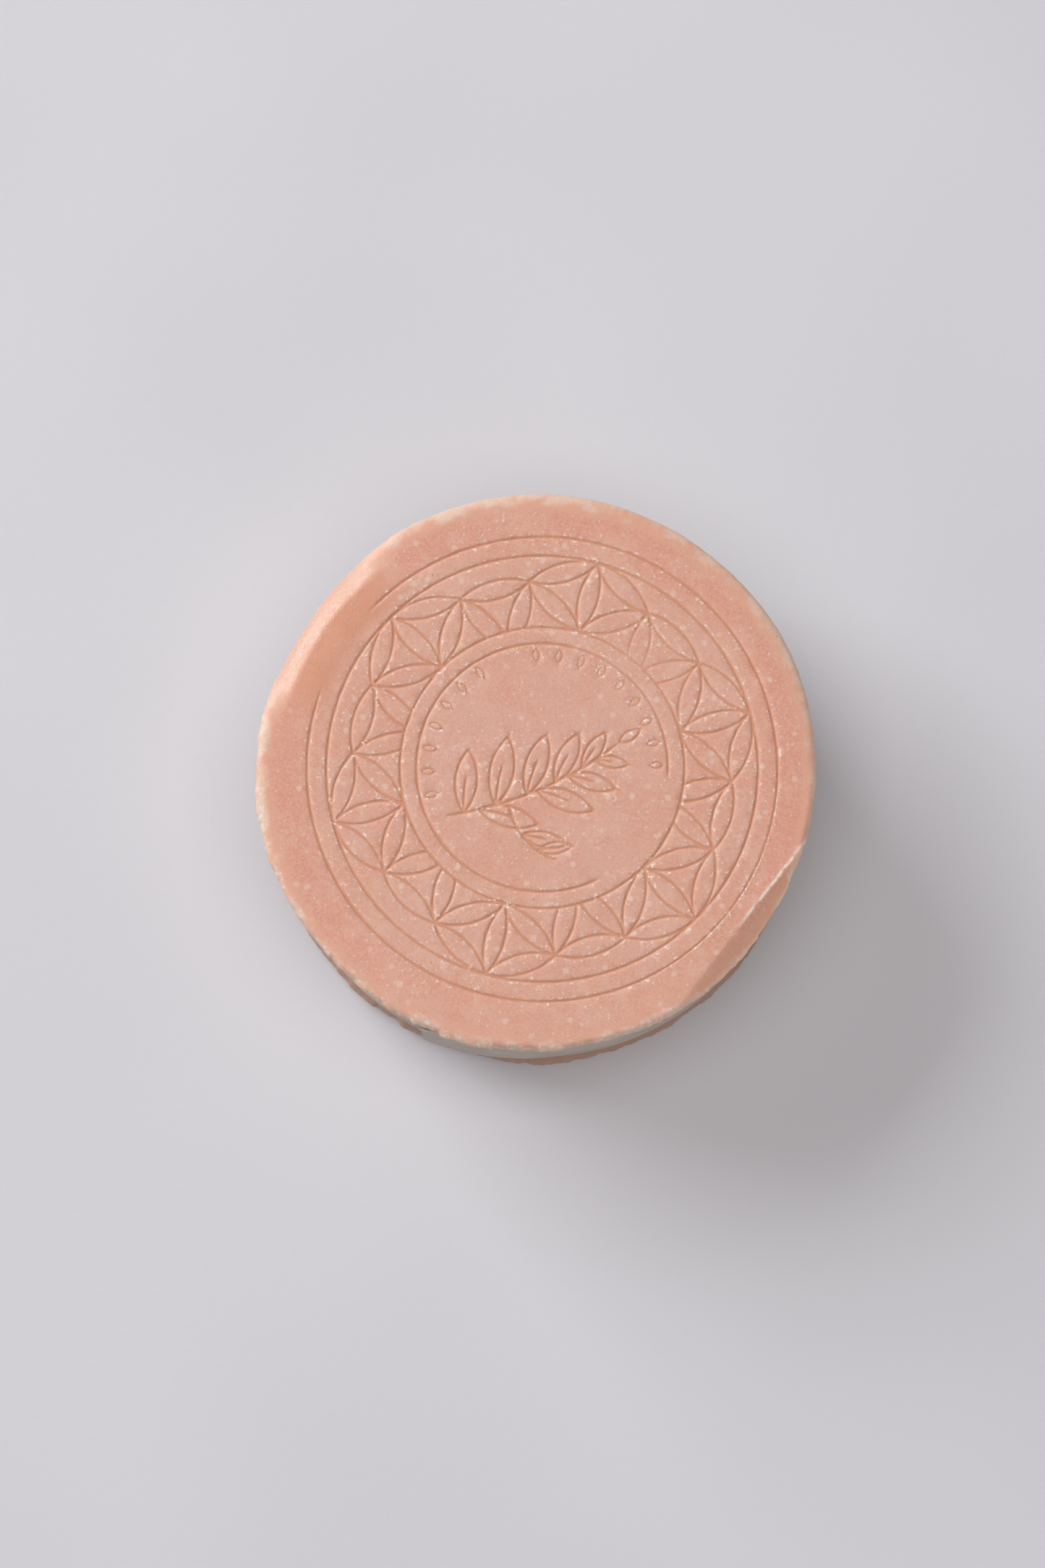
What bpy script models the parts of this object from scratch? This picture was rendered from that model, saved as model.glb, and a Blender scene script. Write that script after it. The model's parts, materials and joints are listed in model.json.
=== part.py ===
"""Shaving soap puck: a stamped cast puck in a paper belly band whose end peels open.

The puck stands on its flat base. A strip of paper runs once round its waist, between the two rims
that the soap was pressed out into, and laps over itself. A strip of tape holds the lap. The outer
end of the paper turns about the upright line where the lap starts.

Metres, +Z up. The origin is the centre of the flat base. Angles are degrees round +Z from +X.
"""

import math

import bmesh
import bpy
from mathutils import Matrix, Vector

MM = 0.001
WELD_DISTANCE = 1e-6
TURN_WELD_DISTANCE = 1e-5

# Soap, in millimetres
SOAP_HEIGHT = 28.0
RIM_RADIUS = 37.5
LOWER_RIM_RADIUS = 36.9
WAIST_RADIUS = 35.7
WAIST_BOTTOM = 3.7
WAIST_TOP = 24.3
TURN_STEPS = 90
FLAT_ANGLE = 0.2
SHARP_ANGLE = 35.0

# Each rim's section: (radius, depth below the top) and (radius, height above the base)
TOP_RIM = (
    (34.6, 0.0), (36.2, 0.12), (37.1, 0.45), (RIM_RADIUS, 1.1), (37.3, 1.8), (36.4, 2.8),
)
LOWER_RIM = ((36.2, 3.3), (36.7, 2.7), (LOWER_RIM_RADIUS, 1.8), (36.7, 0.9), (35.8, 0.0))

# How far each rim wanders in and out: (angle, millimetres)
TOP_RIM_WANDER = (
    (0, -0.05), (28, 0.4), (50, 0.42), (90, 0.75), (112, 0.5), (132, 0.15), (150, -0.3),
    (165, 0.2), (187, 0.4), (205, 0.15), (222, -0.3), (236, -0.05), (262, 0.1), (290, -0.2),
    (318, -0.6), (334, -0.65), (346, -0.25),
)
LOWER_RIM_WANDER = (
    (10, 0.1), (55, -0.2), (95, 0.2), (140, -0.1), (185, 0.25), (225, -0.1), (248, -0.2),
    (270, 0.25), (290, -0.1), (335, -0.2),
)

# A thumb-sized place where the top edge was pressed down
PRESS_ANGLE = 146.0
PRESS_HALF_ANGLE = 24.0
PRESS_INNER_RADIUS = 31.0
PRESS_DEPTH = 2.4

# A flat facet worn off the top edge
FACET_ANGLE = -38.0
FACET_DISTANCE = 34.2
FACET_SLOPE = 28.0
FACET_BLOCK = (24.0, 44.0, 10.0)

# The stamp: rings and a border of petals on a triangular grid
STAMP_CENTRE = (0.74, 0.57)
GRID_SIDE = 9.6
GRID_ANGLE = 74.8
GRID_RINGS = 3
RING_RADII = (31.5, 28.9, 19.05)
INNER_ARC_RADIUS = 16.85
INNER_ARC_GAP = (-63.0, -5.0)
RING_STEPS = 60
RING_DEPTH = 0.35
PETAL_DEPTH = 0.25
PETAL_INSET = 0.52
PETAL_STEPS = 5
PETAL_RING_GAP = 0.7

# Paper belly band; its steps are the degrees between the points of a bent strip
PAPER = 0.3
BAND_BOTTOM = 4.0
BAND_TOP = 24.0
BAND_RADIUS = 36.0
LAP_RADIUS = 37.05
BAND_INNER_END = 262.0
BAND_SWEEP = 358.0
RAMP_SWEEP = 12.0
BAND_STEP = 3.0
LAP_STEP = 1.6

# The band's outer end, hinged where the lap starts
HINGE_ANGLE = 263.75
FLAP_ROOT = 263.5
FLAP_TIP = 245.3
FLAP_LIFT = 3.0

# Tape under the lap
TAPE_RADIUS = 36.6
TAPE_THICKNESS = 0.15
TAPE_ANGLES = (260.5, 249.5)
TAPE_BOTTOM = 6.0
TAPE_TOP = 22.0


def start_empty():
    for obj in list(bpy.data.objects):
        bpy.data.objects.remove(obj, do_unlink=True)


def new_collection(name):
    collection = bpy.data.collections.new(name)
    bpy.context.scene.collection.children.link(collection)
    return collection


def material(name, colour, roughness):
    made = bpy.data.materials.new(name)
    made.use_nodes = True
    shader = made.node_tree.nodes["Principled BSDF"]
    shader.inputs["Base Color"].default_value = (*colour, 1.0)
    shader.inputs["Roughness"].default_value = roughness
    shader.inputs["Metallic"].default_value = 0.0
    return made


def polar(radius, angle, centre=(0.0, 0.0)):
    """The point at that radius and angle round a centre, in millimetres."""
    turn = math.radians(angle)
    return centre[0] + radius * math.cos(turn), centre[1] + radius * math.sin(turn)


def smooth(share):
    share = min(max(share, 0.0), 1.0)
    return share * share * (3 - 2 * share)


def wander(points, angle):
    """A closed curve's value at an angle, easing from each (angle, value) to the next."""
    angle %= 360
    closed = list(points) + [(points[0][0] + 360, points[0][1])]
    if angle < closed[0][0]:
        angle += 360
    for (start, low), (end, high) in zip(closed, closed[1:]):
        if angle <= end:
            return low + (high - low) * smooth((angle - start) / (end - start))
    return closed[-1][1]


def add_object(name, data, collection):
    obj = bpy.data.objects.new(name, data)
    collection.objects.link(obj)
    return obj


def settle(obj):
    """Makes the object a plain mesh of its evaluated shape, with its loose caps welded."""
    view = bpy.context.evaluated_depsgraph_get()
    mesh = bpy.data.meshes.new_from_object(obj.evaluated_get(view))
    work = bmesh.new()
    work.from_mesh(mesh)
    bmesh.ops.remove_doubles(work, verts=work.verts, dist=WELD_DISTANCE)
    work.to_mesh(mesh)
    work.free()
    name, collection = obj.name, obj.users_collection[0]
    bpy.data.objects.remove(obj, do_unlink=True)
    return add_object(name, mesh, collection)


def turned(name, profile, collection):
    """A solid turned about Z from (radius, height) points, top of the axis to the bottom."""
    mesh = bpy.data.meshes.new(name)
    points = [(radius * MM, 0.0, height * MM) for radius, height in profile]
    mesh.from_pydata(points, [(i, i + 1) for i in range(len(points) - 1)], [])
    obj = add_object(name, mesh, collection)
    screw = obj.modifiers.new("turn", "SCREW")
    screw.steps = TURN_STEPS
    screw.render_steps = TURN_STEPS
    screw.use_merge_vertices = True
    screw.merge_threshold = TURN_WELD_DISTANCE
    return settle(obj)


def soap_profile():
    """The section's (radius, height) points, from the top of the axis to the bottom."""
    upper = [(radius, SOAP_HEIGHT - depth) for radius, depth in TOP_RIM]
    middle = [(WAIST_RADIUS, WAIST_TOP), (WAIST_RADIUS, WAIST_BOTTOM)]
    centre_line = [(0.0, SOAP_HEIGHT), (PRESS_INNER_RADIUS, SOAP_HEIGHT)]
    return centre_line + upper + middle + list(LOWER_RIM) + [(0.0, 0.0)]


def shape_edges(mesh):
    """Makes both rims wander, and presses the thumb mark into the top edge."""
    for vertex in mesh.vertices:
        x, y, z = vertex.co / MM
        radius, angle = math.hypot(x, y), math.degrees(math.atan2(y, x))
        if z > SOAP_HEIGHT / 2:
            off_centre = abs((angle - PRESS_ANGLE + 180) % 360 - 180) / PRESS_HALF_ANGLE
            reach = (radius - PRESS_INNER_RADIUS) / (RIM_RADIUS - PRESS_INNER_RADIUS)
            above_waist = smooth((z - WAIST_TOP) / (SOAP_HEIGHT - WAIST_TOP))
            z -= PRESS_DEPTH * smooth(1 - off_centre) * smooth(reach) * above_waist
            rim, widest = TOP_RIM_WANDER, RIM_RADIUS
        else:
            rim, widest = LOWER_RIM_WANDER, LOWER_RIM_RADIUS
        proud = max(0.0, radius - WAIST_RADIUS) / (widest - WAIST_RADIUS)
        x, y = polar(radius + proud * wander(rim, angle), angle)
        vertex.co = Vector((x, y, z)) * MM


def merge_flats(mesh):
    """Joins the faces of each flat area, such as the top and the base, into one."""
    work = bmesh.new()
    work.from_mesh(mesh)
    limit = math.radians(FLAT_ANGLE)
    bmesh.ops.dissolve_limit(work, angle_limit=limit, verts=work.verts, edges=work.edges)
    work.to_mesh(mesh)
    work.free()


def add_groove(curve, outline, depth, closed=True):
    """A V groove along (x, y) points on the puck's top, as a line of the cutting curve."""
    spline = curve.splines.new("POLY")
    spline.points.add(len(outline) - 1)
    for point, (x, y) in zip(spline.points, outline):
        point.co = (x * MM, y * MM, SOAP_HEIGHT * MM, 1.0)
        point.radius = depth
    spline.use_cyclic_u = closed


def petal_outline(start, end):
    """A pointed petal between two grid points: two arcs about the grid points beside it, drawn in
    a little from the full shape, and cut off short of the ring inside the border."""
    start, end = Vector(start), Vector(end)
    along = (end - start).normalized()
    across = Vector((-along.y, along.x))
    middle = (start + end) / 2
    rise = GRID_SIDE * math.sqrt(3) / 2
    radius = GRID_SIDE - PETAL_INSET
    reach = math.acos(rise / radius)
    points = []
    for side in (1, -1):
        for step in range(PETAL_STEPS):
            turn = side * reach * (1 - 2 * step / PETAL_STEPS)
            out = side * (radius * math.cos(turn) - rise)
            points.append(middle + along * radius * math.sin(turn) + across * out)
    return [point for point in points if point.length >= RING_RADII[2] + PETAL_RING_GAP]


def grid_edges():
    """Pairs of neighbouring grid points in the border between the second and third rings."""
    turn = math.radians(GRID_ANGLE)

    def place(i, j):
        x, y = i + j / 2, j * math.sqrt(3) / 2
        return (
            GRID_SIDE * (x * math.cos(turn) - y * math.sin(turn)),
            GRID_SIDE * (x * math.sin(turn) + y * math.cos(turn)),
        )

    span = range(-GRID_RINGS, GRID_RINGS + 1)
    nodes = {(i, j) for i in span for j in span if abs(i + j) <= GRID_RINGS}
    for i, j in sorted(nodes):
        for other in ((i + 1, j), (i, j + 1), (i - 1, j + 1)):
            if other in nodes:
                start, end = place(i, j), place(*other)
                middle = math.hypot(start[0] + end[0], start[1] + end[1]) / 2
                if middle > RING_RADII[2] + PETAL_RING_GAP:
                    yield start, end


def add_stamp_cutter(collection):
    """One cutter of all the stamp's grooves: rings, the open inner arc and the petals."""
    curve = bpy.data.curves.new("stamp_cutter", "CURVE")
    curve.dimensions = "3D"
    curve.bevel_depth = MM
    curve.bevel_resolution = 0
    curve.use_fill_caps = True
    curve.twist_mode = "Z_UP"
    for radius in RING_RADII:
        turns = [360 * step / RING_STEPS for step in range(RING_STEPS)]
        ring = [polar(radius, turn, STAMP_CENTRE) for turn in turns]
        add_groove(curve, ring, RING_DEPTH)
    arc_start, arc_sweep = INNER_ARC_GAP[1], 360 + INNER_ARC_GAP[0] - INNER_ARC_GAP[1]
    turns = [arc_start + arc_sweep * step / RING_STEPS for step in range(RING_STEPS + 1)]
    arc = [polar(INNER_ARC_RADIUS, turn, STAMP_CENTRE) for turn in turns]
    add_groove(curve, arc, RING_DEPTH, closed=False)
    for start, end in grid_edges():
        petal = [tuple(Vector(STAMP_CENTRE) + point) for point in petal_outline(start, end)]
        add_groove(curve, petal, PETAL_DEPTH)
    return settle(add_object("stamp_cutter", curve, collection))


def add_facet_cutter(collection):
    """A block whose lower face is the plane of the worn facet."""
    edge = Vector((*polar(FACET_DISTANCE, FACET_ANGLE), SOAP_HEIGHT))
    slope, turn = math.radians(FACET_SLOPE), math.radians(FACET_ANGLE)
    flat = Vector((math.sin(slope) * math.cos(turn), math.sin(slope) * math.sin(turn)))
    normal = Vector((flat.x, flat.y, math.cos(slope)))
    bpy.ops.mesh.primitive_cube_add(size=1.0)
    block = bpy.context.object
    block.name = "facet_cutter"
    block.data.transform(Matrix.Diagonal((*FACET_BLOCK, 1.0 / MM)) * MM)
    block.rotation_euler = (0.0, slope, turn)
    block.location = (edge + normal * FACET_BLOCK[2] / 2) * MM
    for holder in list(block.users_collection):
        holder.objects.unlink(block)
    collection.objects.link(block)
    return block


def cut(obj, cutter):
    cutter.hide_render = True
    cutter.display_type = "WIRE"
    modifier = obj.modifiers.new(cutter.name, "BOOLEAN")
    modifier.operation = "DIFFERENCE"
    modifier.solver = "EXACT"
    modifier.object = cutter


def make_soap(parts, cutters):
    soap = turned("soap_puck", soap_profile(), parts)
    shape_edges(soap.data)
    merge_flats(soap.data)
    soap.data.shade_smooth()
    soap.data.set_sharp_from_angle(angle=math.radians(SHARP_ANGLE))
    soap.data.materials.append(material("soap", (0.62, 0.33, 0.24), 0.5))
    cut(soap, add_stamp_cutter(cutters))
    cut(soap, add_facet_cutter(cutters))
    return soap


def strip(name, path, bottom, top, thickness, collection):
    """A strip of sheet standing on edge along (x, y) points, which are its inner face."""
    mesh = bpy.data.meshes.new(name)
    work = bmesh.new()
    lower = [work.verts.new((x * MM, y * MM, bottom * MM)) for x, y in path]
    for first, second in zip(lower, lower[1:]):
        work.edges.new((first, second))
    raised = bmesh.ops.extrude_edge_only(work, edges=work.edges[:])["geom"]
    for vertex in raised:
        if isinstance(vertex, bmesh.types.BMVert):
            vertex.co.z = top * MM
    bmesh.ops.recalc_face_normals(work, faces=work.faces)
    face = work.faces[:][0]
    if face.normal.xy.dot(face.calc_center_median().xy) < 0:
        bmesh.ops.reverse_faces(work, faces=work.faces)
    work.to_mesh(mesh)
    work.free()
    obj = add_object(name, mesh, collection)
    sheet = obj.modifiers.new("thickness", "SOLIDIFY")
    sheet.thickness = thickness * MM
    sheet.offset = 1.0
    mesh.shade_smooth()
    return obj


def arc_path(radius, start, end):
    """Points from one angle to another, no more than the lap's step apart."""
    count = math.ceil(abs(end - start) / LAP_STEP)
    return [polar(radius, start + (end - start) * i / count) for i in range(count + 1)]


def band_path():
    """The band's inner face, from the end under the lap, clockwise round the waist and up the
    ramp to where the flap begins."""
    count = math.ceil(BAND_SWEEP / BAND_STEP)
    path = []
    for i in range(count + 1):
        swept = BAND_SWEEP * i / count
        climb = smooth((swept - BAND_SWEEP + RAMP_SWEEP) / RAMP_SWEEP)
        radius = BAND_RADIUS + (LAP_RADIUS - BAND_RADIUS) * climb
        path.append(polar(radius, BAND_INNER_END - swept))
    return path


def make_band(parts, paper):
    band = strip("label_band", band_path(), BAND_BOTTOM, BAND_TOP, PAPER, parts)
    band.data.materials.append(paper)
    return band


def make_flap(parts, paper):
    """The outer end of the band, with its origin on the hinge line and a little lifted."""
    hinge = polar(LAP_RADIUS + PAPER, HINGE_ANGLE)
    path = arc_path(LAP_RADIUS, FLAP_ROOT, FLAP_TIP)
    flap = strip("band_flap", path, BAND_BOTTOM, BAND_TOP, PAPER, parts)
    for vertex in flap.data.vertices:
        vertex.co.x -= hinge[0] * MM
        vertex.co.y -= hinge[1] * MM
    flap.location = (hinge[0] * MM, hinge[1] * MM, 0.0)
    flap.rotation_euler = (0.0, 0.0, math.radians(FLAP_LIFT))
    flap.data.materials.append(paper)
    return flap


def make_tape(parts):
    path = arc_path(TAPE_RADIUS, *TAPE_ANGLES)
    tape = strip("lap_tape", path, TAPE_BOTTOM, TAPE_TOP, TAPE_THICKNESS, parts)
    tape.data.materials.append(material("tape", (0.78, 0.76, 0.7), 0.25))
    return tape


def main():
    start_empty()
    parts = new_collection("shaving_soap_puck")
    cutters = new_collection("cutters")
    paper = material("paper", (0.8, 0.79, 0.78), 0.85)
    make_soap(parts, cutters)
    make_band(parts, paper)
    make_flap(parts, paper)
    make_tape(parts)


main()
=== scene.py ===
"""Looks of the shaving soap puck: fine stamped soap, paper belly band and tape, on a pale floor.

Shapes are worked out in millimetres and made in metres. Angles are degrees round +Z from +X.
"""

import json
import math
from dataclasses import dataclass

import bpy
import numpy as np
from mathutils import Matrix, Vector, geometry, noise


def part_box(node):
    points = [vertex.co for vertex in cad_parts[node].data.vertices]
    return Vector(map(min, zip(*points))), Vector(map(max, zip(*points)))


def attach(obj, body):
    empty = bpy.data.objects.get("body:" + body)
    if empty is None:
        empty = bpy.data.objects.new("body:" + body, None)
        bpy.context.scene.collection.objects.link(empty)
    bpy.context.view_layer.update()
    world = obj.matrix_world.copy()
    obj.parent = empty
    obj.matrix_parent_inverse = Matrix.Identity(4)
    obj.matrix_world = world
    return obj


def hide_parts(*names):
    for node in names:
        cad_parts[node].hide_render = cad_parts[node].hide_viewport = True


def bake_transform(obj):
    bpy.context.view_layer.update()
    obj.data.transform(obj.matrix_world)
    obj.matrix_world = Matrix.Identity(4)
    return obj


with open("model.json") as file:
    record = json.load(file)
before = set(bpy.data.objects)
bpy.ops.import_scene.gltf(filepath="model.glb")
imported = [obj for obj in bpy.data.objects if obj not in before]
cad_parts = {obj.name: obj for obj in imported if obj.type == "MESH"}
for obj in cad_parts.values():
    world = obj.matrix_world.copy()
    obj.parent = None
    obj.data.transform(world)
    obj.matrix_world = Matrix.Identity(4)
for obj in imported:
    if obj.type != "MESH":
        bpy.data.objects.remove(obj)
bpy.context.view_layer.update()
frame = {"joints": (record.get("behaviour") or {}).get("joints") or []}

MM = 0.001
soap_low, soap_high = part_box("soap_puck")
band_low, band_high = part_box("label_band")
tape_low, tape_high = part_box("lap_tape")
hinge = next(joint for joint in frame["joints"] if joint["name"] == "band_peel")

# Soap
TOP = soap_high.z / MM
RIM_RADIUS = 37.5
LOWER_RIM_RADIUS = 36.9
WAIST_RADIUS = 35.65
BAND_TOP = band_high.z / MM
BAND_BOTTOM = band_low.z / MM
COLUMNS = 1080
MARGIN_RADIUS = 36.3
RIM_PROFILE = (
    # radius, depth below the top
    (36.3, 0.05), (36.55, 0.09), (36.78, 0.15), (36.98, 0.23), (37.15, 0.34), (37.29, 0.48),
    (37.4, 0.66), (37.47, 0.87), (37.5, 1.1), (37.48, 1.34), (37.4, 1.58), (37.26, 1.83),
    (37.06, 2.1), (36.8, 2.38), (36.5, 2.66), (36.2, 2.95), (35.9, 3.25), (35.7, 3.55),
)
LOWER_PROFILE = (
    # share of the way from the waist to the lower rim, height above the base
    (0.02, 3.65), (0.2, 3.45), (0.45, 3.15), (0.7, 2.85), (0.88, 2.5), (0.98, 2.1), (1.0, 1.7),
    (0.98, 1.3), (0.92, 0.9), (0.8, 0.55), (0.62, 0.25), (0.4, 0.06), (0.2, 0.0),
)
BASE_RADII = (34.0, 31.0, 26.0, 18.0, 9.0)
TOP_RIM_WANDER = (
    (0, -0.05), (28, 0.4), (50, 0.42), (90, 0.75), (112, 0.5), (132, 0.15), (150, -0.3),
    (165, 0.2), (187, 0.4), (205, 0.15), (222, -0.3), (236, -0.05), (262, 0.1), (290, -0.2),
    (318, -0.6), (334, -0.65), (346, -0.25),
)
LOWER_RIM_WANDER = (
    (10, 0.1), (55, -0.2), (95, 0.2), (140, -0.1), (185, 0.25), (225, -0.1), (248, -0.2),
    (270, 0.25), (290, -0.1), (335, -0.2),
)

# Radius where each mark or rounding begins, and the width over which it grows to its full value
EDGE_MARK = (34.2, 3.6)
EDGE_ROUND = (34.4, 1.9)
EDGE_MARK_UNDER_RIM = 0.7
EDGE_MARK_ON_WAIST = 0.2
EDGE_MARK_ON_LOWER_RIM = 0.6

# How ragged the edges are: (middle angle, fade in degrees, reach in fades, strength) and the least
TORN_PLACES = ((268, 46.0, 1.7, 1.3), (200, 38.0, 1.5, 0.8), (-20, 9.0, 1.4, 0.8))
TORN_LEAST = 0.16
TOP_TATTER = 0.33
LOWER_TATTER = 0.24

# The soap's own unevenness: heights of its broad swells, small swells and grain
BROAD_SWELL = 0.05
SMALL_SWELL = 0.02
GRAIN = 0.04

# Where the top edge was pressed down, and the worn facet
PRESS_ANGLE = 146.0
PRESS_HALF_ANGLE = 27.0
PRESS_SLOPES = (
    # radius where it begins, width over which it eases in, slope that it adds
    (30.8, 2.5, 0.16), (34.3, 0.9, 0.4),
)
PRESS_MARK = (28.8, 2.2)
# Where the painted highlight along the pressed edge begins, and the width over which it grows
HIGHLIGHT_STRIP = (34.3, 1.0)
FACET_ANGLE = -38.0
FACET_DISTANCE = 34.2
FACET_SLOPE = 26.0
FACET_HALF_LENGTH = 12.6
FACET_HALF_ANGLE = 30.0
RIDGE_HEIGHT = 0.1
CRISP_RIDGE_BLEND = 0.06
SOFT_RIDGE_BLEND = 0.6

# The stamp
STAMP_CENTRE = np.array((0.74, 0.57))
GRID_SIDE = 9.6
GRID_ANGLE = 74.8
GRID_RINGS = 3
OUTER_RING = 31.5
BORDER_OUTER = 28.9
BORDER_INNER = 19.05
INNER_ARC = 16.85
INNER_ARC_GAP = (-63.0, -5.0)
GROOVE_HALF_WIDTH = 0.22
GROOVE_DEPTH = 0.2
PETAL_DEPTH = 0.17
CRUMB_HEIGHT = 0.065
ROUGH_CRUMB_HEIGHT = 0.11
WORN_RING_ANGLE = 149.0
ROUGH_RING_ANGLE = -32.0
SEED_RADIUS = 14.4
SEED_GROUPS = (
    # first angle, last angle, number of seeds
    (123.0, 194.0, 7), (1.0, 93.0, 9),
)
STEM = ((-13.0, -6.6), (10.4, 3.4))
STEM_LEAVES = (
    # share of the way along the stem, direction, length
    (0.1, 86, 8.6), (0.27, 80, 9.4), (0.44, 72, 8.6), (0.6, 64, 7.4), (0.76, 56, 5.8),
    (0.18, -14, 8.2), (0.5, -20, 8.0), (0.68, -16, 6.6), (0.84, -8, 4.6),
)
SHOOT_START = 0.34
SHOOT_TIP = (2.2, -12.6)
SHOOT_LEAVES = ((0.45, -12, 6.2), (0.72, 8, 4.6))
LEAF_WIDTH = 0.34

# Spacing of the mesh's points on the top
GROOVE_ROWS = (0.0, 0.11, -0.11, 0.2, -0.2, 0.34, -0.34)
RIDGE_ROWS = (0.0, 0.1, -0.1, 0.22, -0.22, 0.4, -0.4, 0.65, -0.65)
GROOVE_STEP = 0.32
FILL_STEP = 0.74
MARGIN_FILL_STEP = 0.5
CLOSEST = 0.085

# Paper
PAPER = 0.16
BAND_RADIUS = 36.08
LAP_RADIUS = 36.42
BAND_INNER_END = 262.0
RAMP_START = -84.0
RAMP_END = -96.0
FLAP_TIP = -114.7
FLAP_LIFT = 3.0
CURL_START = 0.7
CURL_HEIGHT = 0.4
TAPE_RADIUS = 36.28
TAPE = 0.09
TAPE_ANGLES = (-99.6, -110.4)
SHARP_ANGLE = 40.0

# Colours of the soap, linear
SOAP = {
    "middle": (0.715, 0.388, 0.292),
    "margin": (0.715, 0.325, 0.224),
    "near margin": (0.735, 0.375, 0.268),
    "mottle": (0.70, 0.33, 0.228),
    "cloud": (0.755, 0.458, 0.352),
    "blush": (0.69, 0.305, 0.21),
    "grain": (0.785, 0.50, 0.388),
    "dark grain": (0.62, 0.285, 0.195),
    "specks": (0.86, 0.68, 0.57),
    "blobs": (0.85, 0.66, 0.55),
    "scuff": (0.87, 0.69, 0.59),
    "groove": (0.66, 0.30, 0.17),
    "press": (0.67, 0.31, 0.19),
    "peach": (0.75, 0.405, 0.285),
    "cream": (0.78, 0.575, 0.455),
    # painted highlight: this pale colour along the pressed edge stands in for the glint of the
    # window light there
    "strip": (0.75, 0.475, 0.355),
    "curd": (0.88, 0.78, 0.68),
    "facet": (0.76, 0.43, 0.29),
    "ridge": (0.92, 0.80, 0.70),
    "crumb": (0.93, 0.79, 0.70),
    # painted shade: the darker brown of the lower rim, which sits under the top rim and against the
    # floor
    "base": (0.41, 0.28, 0.22),
    "dots": (0.26, 0.07, 0.035),
}


def smooth(share):
    share = np.clip(share, 0.0, 1.0)
    return share * share * (3 - 2 * share)


def growing(radius, place):
    """From 0 to 1 over a (start, width) of the radius."""
    start, width = place
    return smooth((radius - start) / width)


def angle_of(points):
    return np.degrees(np.arctan2(points[:, 1], points[:, 0]))


def standing(points):
    """The (x, y) points with a height of 0."""
    return np.c_[points, np.zeros(len(points))]


def turn_between(angle, centre):
    """How far each angle is from a centre, in degrees, from 0 to 180."""
    return np.abs((angle - centre + 180) % 360 - 180)


def wander(points, angle):
    """A closed curve's value at each angle, easing from one (angle, value) to the next."""
    angles = np.array([a for a, _ in points] + [points[0][0] + 360], float)
    values = np.array([v for _, v in points] + [points[0][1]], float)
    angle = (np.asarray(angle, float) - angles[0]) % 360 + angles[0]
    i = np.clip(np.searchsorted(angles, angle, side="right") - 1, 0, len(points) - 1)
    share = smooth((angle - angles[i]) / (angles[i + 1] - angles[i]))
    return values[i] + (values[i + 1] - values[i]) * share


def lumps(points, size, seed, octaves=1):
    """Smooth noise from about -1 to 1 at each point, with lumps about that many mm across."""
    shift = Vector((seed * 17.3, seed * 5.1, seed * 9.7))
    total = np.zeros(len(points))
    weight = 1.0
    for octave in range(octaves):
        scale = 2**octave / size
        total += weight * np.array([noise.noise(Vector(p) * scale + shift) for p in points])
        weight *= 0.5
    return total * 1.6


# ---------------------------------------------------------------- the stamp


@dataclass
class Groove:
    """A line pressed along an arc of a circle, in the stamp's own frame."""

    x: float
    y: float
    radius: float
    start: float
    sweep: float
    half_width: float = GROOVE_HALF_WIDTH
    depth: float = GROOVE_DEPTH
    tapered: bool = False

    def reach(self, points):
        """Each point's distance from the line and its share of the way along it."""
        dx, dy = points[:, 0] - self.x, points[:, 1] - self.y
        away = np.abs(np.hypot(dx, dy) - self.radius)
        turned = (np.arctan2(dy, dx) - self.start) * math.copysign(1, self.sweep) % (2 * math.pi)
        span = abs(self.sweep)
        past = turned > span
        if span < 2 * math.pi - 1e-6 and past.any():
            ends = self.places(np.array([0.0, 1.0]))
            gaps = [np.hypot(*(points - end).T) for end in ends]
            away = np.where(past, np.minimum(*gaps), away)
            turned = np.where(past, np.where(gaps[0] < gaps[1], 0.0, span), turned)
        return away, np.minimum(turned, span) / span

    def places(self, share, offset=0.0):
        angle = self.start + self.sweep * share
        reach = self.radius + offset
        return np.stack([self.x + reach * np.cos(angle), self.y + reach * np.sin(angle)], -1)

    def length(self):
        return abs(self.sweep) * self.radius


def arc_between(start, end, bulge, **extra):
    """The groove from one point to another that bulges that far to the left of the way."""
    start, end = np.array(start, float), np.array(end, float)
    chord = end - start
    span = np.hypot(*chord)
    left = np.array((-chord[1], chord[0])) / span
    radius = (span * span / 4 + bulge * bulge) / (2 * abs(bulge))
    centre = (start + end) / 2 + left * (bulge - math.copysign(radius, bulge))
    first = math.atan2(*(start - centre)[::-1])
    sweep = -math.copysign(2 * math.asin(min(1.0, span / 2 / radius)), bulge)
    return Groove(centre[0], centre[1], radius, first, sweep, **extra)


def leaf(base, direction, length, width, rib=0.6, **extra):
    """A pointed leaf's outline and its midrib."""
    base = np.array(base, float)
    way = np.array((math.cos(math.radians(direction)), math.sin(math.radians(direction))))
    tip = base + way * length
    made = [arc_between(base, tip, width / 2, **extra), arc_between(base, tip, -width / 2, **extra)]
    if rib:
        end = base + way * length * rib
        made.append(arc_between(base, end, 0.02 * length, tapered=True, **extra))
    return made


def rings():
    radii = (OUTER_RING, BORDER_OUTER, BORDER_INNER)
    full = [Groove(0, 0, radius, 0.0, 2 * math.pi) for radius in radii]
    low, high = INNER_ARC_GAP
    start, sweep = math.radians(high), math.radians(360 + low - high)
    return full + [Groove(0, 0, INNER_ARC, start, sweep, tapered=True)]


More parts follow.
